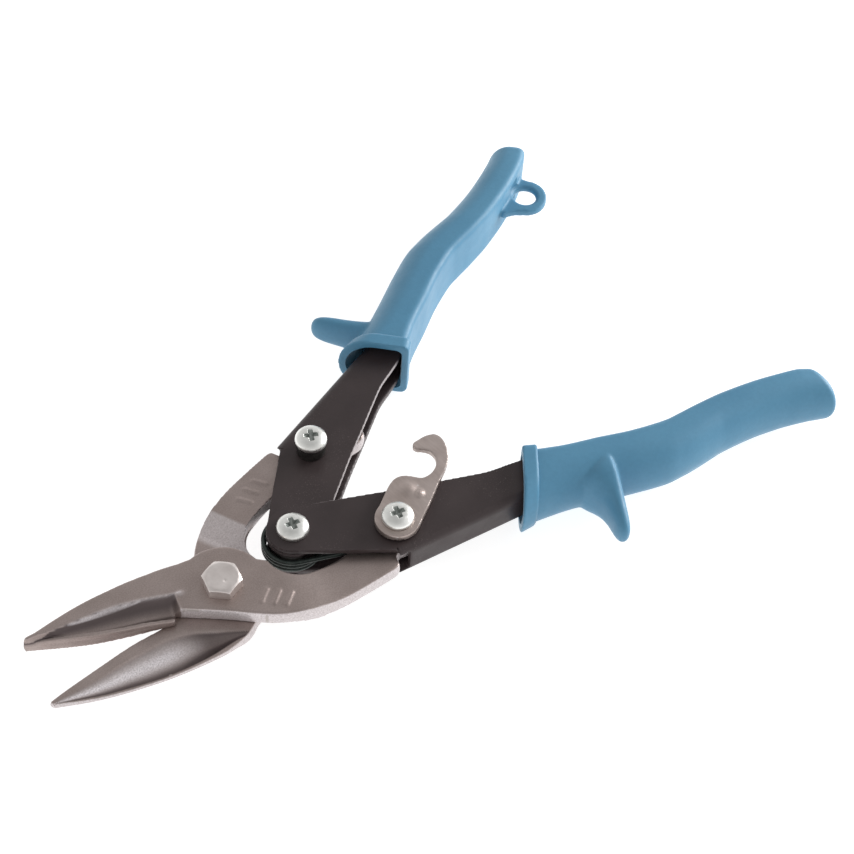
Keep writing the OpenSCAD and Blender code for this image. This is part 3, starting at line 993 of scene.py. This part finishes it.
def round_bends(obj):
    """Rolls the two corners along the closed side of a channel."""
    p = points_of(obj)
    edge = np.array(spline(WEB_OUTER))
    height = p[:, 2]
    over = np.maximum(height - (HIGH_FACE - BEND_R), 0) + np.maximum(-LOW_FACE + BEND_R - height, 0)
    over = np.minimum(over, BEND_R)
    inset = BEND_R - np.sqrt(np.maximum(BEND_R ** 2 - over ** 2, 0))
    slope = np.gradient(edge[:, 1], edge[:, 0])
    line = np.interp(p[:, 0], edge[:, 0], edge[:, 1])
    angle = np.arctan(np.interp(p[:, 0], edge[:, 0], slope))
    away = (p[:, 1] - line) * np.cos(angle)
    share = (1 - smooth_step(away, 1.5, 7)) * smooth_step(p[:, 0], 28.3, 29.5) * inset
    p[:, 0] += -np.sin(angle) * share
    p[:, 1] += np.cos(angle) * share
    move_points(obj, p)


def settle(obj, levels):
    """Sheet faces are truly flat: points close to a level are put on it."""
    p = points_of(obj)
    for level in levels:
        p[:, 2] = np.where(np.abs(p[:, 2] - level) < FLAT_REACH, level, p[:, 2])
    move_points(obj, p)


def handle(name, place, body, replaced, slack):
    """Folded channel with slack added to its hole for the screw between the handles."""
    side = flange_outline()
    high = slab(side, HIGH_FACE - SHEET, HIGH_FACE)
    low = slab(side, -LOW_FACE, -LOW_FACE + SHEET)
    obj = build(name, joined(high, low, slab(web_outline(), -LOW_FACE, HIGH_FACE)))
    remesh(obj, HANDLE_VOXEL)
    round_bends(obj)
    relax(obj, 3)
    settle(obj, (HIGH_FACE, -LOW_FACE))
    for x, radius in ((0, SCREW_R + slack), (LINK_LENGTH, SCREW_R + CLOSE_FIT)):
        cut(obj, slab(arc(x, 0, radius, 0, 352.5, 47), -8, 9))
    bare_and_lit_inner_edge(obj, (place @ HANDLE)[2][2])
    put(obj, place @ HANDLE, body, BLACK, [replaced])


def bare_and_lit_inner_edge(obj, up):
    """Paints the sheared inner edges of both flanges pale as bare steel and a painted reflection, the
    lower one faintly as painted shade.
    """
    inner = np.array(sorted(spline(FLANGE_INNER)))
    x, y, z = points_of(obj).T
    gap = np.interp(x, inner[:, 0], inner[:, 1]) - y
    bare_and_reflection = smooth_step(normals_of(obj)[:, 1], 0.4, 0.8) * (1 - smooth_step(gap, 0.3, 0.8))
    bare_and_reflection = bare_and_reflection * smooth_step(x, 6, 8) * (1 - smooth_step(x, 65, 68))
    # painted shade: the lower flange's edge is kept faint
    paint(obj, "bare_and_reflection", bare_and_reflection * np.where(z * up > 0, 1, 0.2))


# ---- grips --------------------------------------------------------------------------
GRIP_VOXEL = 0.5
# Sections along a grip: (distance, inner face, outer face, half width)
STATIONS = [(68.2, 21.7, 3.8, 9.8), (72, 22, 5.2, 10), (80, 23, 7.9, 10), (90, 25.2, 10.3, 9.9),
            (100, 27.2, 12.4, 9.7), (110, 30.2, 14.9, 9.5), (115, 32.6, 17.1, 9.4),
            (120, 35.3, 19.8, 9.3), (125, 37.8, 22.9, 9.2), (130, 40.1, 25.9, 9.1),
            (140, 43.8, 30.5, 9), (150, 46.6, 33.9, 8.9), (156, 47.7, 35.6, 8.75)]
END_X = 164.4
END_Y = 42
GRIP_WALL = 2.0
POCKET_GAP = 0.06
COLLAR_HALF = 10.8


def d_ring(x, inner, outer, half):
    """D-shaped section: half an ellipse outside, a flat inner face with round corners."""
    depth = min(9, (inner - outer) * 0.62)
    middle = outer + depth
    corner = min(2.2, half * 0.3, (inner - middle) * 0.85)
    ring = [(x, middle - depth * math.sin(t), half * math.cos(t))
            for t in np.radians(np.arange(0, 181, 6))]
    turns = [math.radians(15 * k) for k in range(7)]
    for side, order in ((-1, turns[::-1]), (1, turns)):
        for t in order:
            across = half - corner + corner * math.sin(t)
            ring.append((x, inner - corner + corner * math.cos(t), side * across))
    return ring


def end_rows(end, radius):
    """Rows of the closed end of a grip, rounded by radius."""
    rows = []
    for t in np.radians(np.arange(0, 88, 12)):
        inset = radius * (1 - math.cos(t))
        rows.append((end - radius + radius * math.sin(t), 47.8 - inset, 36.3 + inset, 8.5 - inset))
    return rows


def collar(lean):
    """Band round the mouth of a grip, its lower corner drawn out to a point."""
    rows = [(67.3, 22.6, 1.5, COLLAR_HALF), (67.8, 22.9, 1.6, COLLAR_HALF),
            (71.2, 23.0, 3.6, COLLAR_HALF), (71.7, 22.7, 4.2, COLLAR_HALF - 0.4)]
    obj = build("collar", loft([d_ring(*row) for row in rows]))
    remesh(obj, 0.4)
    relax(obj, 2)
    p = points_of(obj)
    p[:, 0] -= lean * (22.9 - p[:, 1]) / 21.3
    move_points(obj, p)
    return obj


def mouth():
    """D-shaped opening that the channel goes into."""
    rows = [(60, 22.9, 1.6, COLLAR_HALF), (68, 22.9, 1.8, COLLAR_HALF), (73, 22.0, 5.6, 9.8),
            (77, 22.0, 7.0, 9.0)]
    return loft([d_ring(x, inner - GRIP_WALL, outer + GRIP_WALL, half - GRIP_WALL)
                 for x, inner, outer, half in rows])


# Rows of a finger guard: (out, front reach, back reach, half width), out falling to the tip
RIGHT_GUARD = [(8, 3.5, 0.4, 9.6), (5, 8, 1.4, 10.1), (2, 10, 2.2, 10.0), (0, 9, 2.5, 9.3),
               (-2, 6.6, 2.6, 8.5), (-4.5, 4.5, 2.6, 7.5), (-7.5, 3.2, 2.5, 6.6),
               (-10.5, 2.6, 2.4, 5.7), (-13, 2.2, 2.2, 4.7), (-15, 1.6, 1.7, 3.4),
               (-15.9, 0.8, 0.9, 1.9), (-16.1, 0.2, 0.2, 0.5)]
LEFT_GUARD = [(6.5, 6, 4.5, 6.6), (3, 5, 3.9, 6.4), (0.5, 4, 3.4, 6.1), (-2.5, 3.3, 3.0, 5.7),
              (-6, 2.9, 2.8, 5.3), (-9.5, 2.7, 2.7, 5.0), (-12.5, 2.5, 2.5, 4.5),
              (-14.6, 2.0, 2.1, 3.6), (-15.7, 1.2, 1.3, 2.3), (-16.1, 0.3, 0.3, 0.7)]
GUARD_LEAN = math.radians(6)
LOOP_X = 145.5
LOOP_Y = 49.8


def tongue(x, y, rows):
    """Finger guard that stands out from the outer side at (x, y)."""
    c, s = math.cos(GUARD_LEAN), math.sin(GUARD_LEAN)
    rings = []
    for out, front, back, wide in spline(rows, 4):
        ring = []
        for a in np.arange(40) / 40 * 2 * math.pi:
            reach = back if math.cos(a) > 0 else front
            px = reach * math.copysign(abs(math.cos(a)) ** 0.85, math.cos(a))
            pz = wide * math.copysign(abs(math.sin(a)) ** 0.85, math.sin(a))
            ring.append((x + px * c - out * s, y + out * c + px * s, pz))
        rings.append(ring)
    return loft(rings)


def hang_loop():
    """Eye with a flared foot on the flat side of the left grip."""
    foot = spline([(-7, 0), (-7.6, -2.6), (-9.6, -6.2)], 5)
    heel = spline([(9.2, -4.2), (7.4, -1.6), (7, 0)], 5)
    shape = [(LOOP_X + x, LOOP_Y + y) for x, y in foot + heel[:-1] + arc(0, 0, 7, 0, 174, 36)]
    return slab(shape, -1.8, 0.8)


def loop_bore():
    """Hole of the eye with rolled rims."""
    rows = [(0.02, -6), (5.2, -6), (5.2, -2.0), (4.1, -1.55), (3.7, -1.0), (3.7, 0.0), (4.1, 0.55),
            (5.2, 1.0), (5.2, 6), (0.02, 6)]
    points, faces = lathe(rows, 64)
    return [(x + LOOP_X, y + LOOP_Y, z) for x, y, z in points], faces


def steel_pocket(x_low, x_high):
    """Space for the channel inside a grip."""
    web = spline(WEB_OUTER)
    flange = spline(FLANGE_INNER)
    outer = [(x_low, np.interp(x_low, *np.array(web).T))]
    outer += [p for p in web if x_low < p[0] < x_high]
    inner = [p for p in flange if x_low < p[0] < x_high]
    inner += [(x_low, np.interp(x_low, *np.array(sorted(flange)).T))]
    lower = [(x, y - POCKET_GAP) for x, y in outer]
    upper = [(x, y + POCKET_GAP) for x, y in inner]
    return slab(lower + upper, -LOW_FACE - POCKET_GAP, HIGH_FACE + POCKET_GAP)


def grip(name, place, body, replaced, guard, loop, end, lean):
    """Dipped sleeve; end is (x, corner radius, slant), lean tilts the face of the collar."""
    end_x, radius, slant = end
    rows = spline(STATIONS, 5) + end_rows(end_x, radius)
    solids = [loft([d_ring(*row) for row in rows]), guard]
    if loop:
        solids.append(hang_loop())
    obj = build(name, joined(*solids))
    remesh(obj, GRIP_VOXEL)
    relax(obj, 4)
    p = points_of(obj)
    p[:, 0] += slant * (END_Y - p[:, 1]) * smooth_step(p[:, 0], 148, 162)
    move_points(obj, p)
    combine(obj, collar(lean), "UNION")
    if loop:
        cut(obj, loop_bore())
    cut(obj, mouth())
    cut(obj, steel_pocket(60, 130.1))
    put(obj, place @ HANDLE, body, VINYL, [replaced], 42)


def grips():
    """Right grip with its broad guard and slanted end, left grip with the eye."""
    guard = tongue(92.5, 10.9, RIGHT_GUARD)
    end = (END_X - 0.8, 3.2, 0.55)
    grip("right_grip_sleeve", TOP, "right_arm", "right_grip", guard, False, end, 1.7)
    guard = tongue(78, 7.2, LEFT_GUARD)
    end = (END_X - 3.0, 2.2, 0)
    grip("left_grip_sleeve", LOW, "left_arm", "left_grip", guard, True, end, 0)


# ---- latch --------------------------------------------------------------------------
LATCH_VOXEL = 0.24
EAR_R = 6.5


def latch_hook():
    """Stamped hook with rounded edges and a raised double dimple."""
    hook = spline([(6.0, -2.7), (7.7, 0.9), (9.8, 5.0), (12.7, 11.3), (14.9, 15.5), (16.2, 19),
                   (16.5, 22.2), (16.1, 25.2), (15.0, 27.6), (13.2, 28.8), (10.6, 28.3), (8.4, 27.0),
                   (6.9, 25.9), (6.7, 24.7), (7.6, 23.8), (9.4, 23.5), (11.3, 22.7), (12.5, 21.0),
                   (12.8, 19.0), (12.3, 16.9), (10.8, 14.8), (8.6, 13.5), (6.8, 13.7), (4.8, 14.3),
                   (2.6, 14.5), (0.4, 13.6), (-1.4, 11.4), (-3.0, 8.2), (-4.6, 4.9)])
    obj = build("latch_plate", slab(hook + arc(0, 0, EAR_R, 140, 334, 60), 0, LATCH_THICK))
    remesh(obj, LATCH_VOXEL)
    relax(obj, 4)
    p = points_of(obj)
    raised = np.zeros(len(p))
    for x, y, height, width in ((3.9, 9.6, 0.75, 3.7), (6.9, 8.0, 0.7, 2.1)):
        reach = np.hypot(p[:, 0] - x, p[:, 1] - y)
        raised = np.maximum(raised, height * (1 - smooth_step(reach, 0, width)))
    p[:, 2] += raised * smooth_step(p[:, 2], 0.2, 1.8)
    move_points(obj, p)
    relax(obj, 1)
    cut(obj, slab(arc(0, 0, SCREW_R + FIT, 0, 352.5, 47), -2, 5))
    place = TOP @ HANDLE @ HANDLE_END @ lift(LATCH_BASE)
    put(obj, place, "latch", LATCH, ["latch_hook"])


# ---- stage --------------------------------------------------------------------------
FLOOR_HALF = 3
FLOOR_DROP = 0.0004
FLOOR_GLOW = 0.84
SKY_STRENGTH = 0.95
AIM = (0.08235, 0.00436)
DISTANCE = 0.59016
AZIMUTH = math.radians(47.409)
ELEVATION = math.radians(52.111)
ROLL = math.radians(4.433)
LENS = 84.30913349
SENSOR = 36


def pale_floor():
    """Wide matt floor just below the snips, in metres; its own glow keeps it almost white."""
    corners = [(-FLOOR_HALF, -FLOOR_HALF), (FLOOR_HALF, -FLOOR_HALF), (FLOOR_HALF, FLOOR_HALF),
               (-FLOOR_HALF, FLOOR_HALF)]
    obj = build("floor", slab(corners, -0.02, 0))
    made, tree, shader = material("pale_floor")
    cloud = ramp(tree, noise(tree, 3, 2), [(0.3, (0.44, 0.44, 0.44)), (0.7, (0.46, 0.46, 0.46))])
    tree.links.new(cloud, shader.inputs["Base Color"])
    shader.inputs["Roughness"].default_value = 0.9
    shader.inputs["Emission Color"].default_value = (1, 1, 1, 1)
    shader.inputs["Emission Strength"].default_value = FLOOR_GLOW
    obj.data.materials.append(made)
    obj.data.transform(lift(-FLOOR_DROP))


def area_light(name, spot, aim, size, power):
    """Square lamp at a spot that faces its aim."""
    light = bpy.data.lights.new(name, "AREA")
    light.size = size
    light.energy = power
    obj = bpy.data.objects.new(name, light)
    bpy.context.scene.collection.objects.link(obj)
    obj.location = spot
    obj.rotation_mode = "QUATERNION"
    obj.rotation_quaternion = (Vector(aim) - Vector(spot)).to_track_quat("-Z", "Y")


def lights():
    """One low lamp beyond the grips and a sky that darkens towards its top."""
    area_light("key", (1.15, -0.3, 0.3), (0.06, 0.0, 0.01), 0.7, 15)
    world = bpy.data.worlds.new("studio")
    bpy.context.scene.world = world
    world.use_nodes = True
    tree = world.node_tree
    place = tree.nodes.new("ShaderNodeTexCoord")
    split = tree.nodes.new("ShaderNodeSeparateXYZ")
    tree.links.new(place.outputs["Generated"], split.inputs["Vector"])
    sky = ramp(tree, split.outputs["Z"], [(0.0, 0.95), (0.35, 0.8), (0.78, 0.62), (1.0, 0.46)])
    tree.links.new(sky, tree.nodes["Background"].inputs["Color"])
    tree.nodes["Background"].inputs["Strength"].default_value = SKY_STRENGTH


def camera():
    """Looks down on the snips from the jaw side, a little rolled."""
    level = math.cos(ELEVATION)
    ahead = Vector((level * math.sin(AZIMUTH), level * math.cos(AZIMUTH), -math.sin(ELEVATION)))
    data = bpy.data.cameras.new("camera")
    data.lens = LENS
    data.sensor_width = SENSOR
    data.clip_start = 0.01
    data.clip_end = 20
    obj = bpy.data.objects.new("camera", data)
    bpy.context.scene.collection.objects.link(obj)
    right = ahead.cross(Vector((0, 0, 1))).normalized()
    up = right.cross(ahead)
    across = right * math.cos(ROLL) + up * math.sin(ROLL)
    along = up * math.cos(ROLL) - right * math.sin(ROLL)
    turn = Matrix((across, along, -ahead)).transposed()
    spot = Vector((*AIM, MID * MM)) - ahead * DISTANCE
    obj.matrix_world = Matrix.Translation(spot) @ turn.to_4x4()
    bpy.context.scene.camera = obj


bpy.context.scene.view_settings.view_transform = "Standard"
camera()
lights()
pale_floor()
top_blade()
bottom_blade()
pivot_hardware()
screws_and_nuts()
return_spring()
handle("right_channel", TOP, "right_arm", "right_handle", 0.0)
handle("left_channel", LOW, "left_arm", "left_handle", PIVOT_PLAY)
grips()
latch_hook()
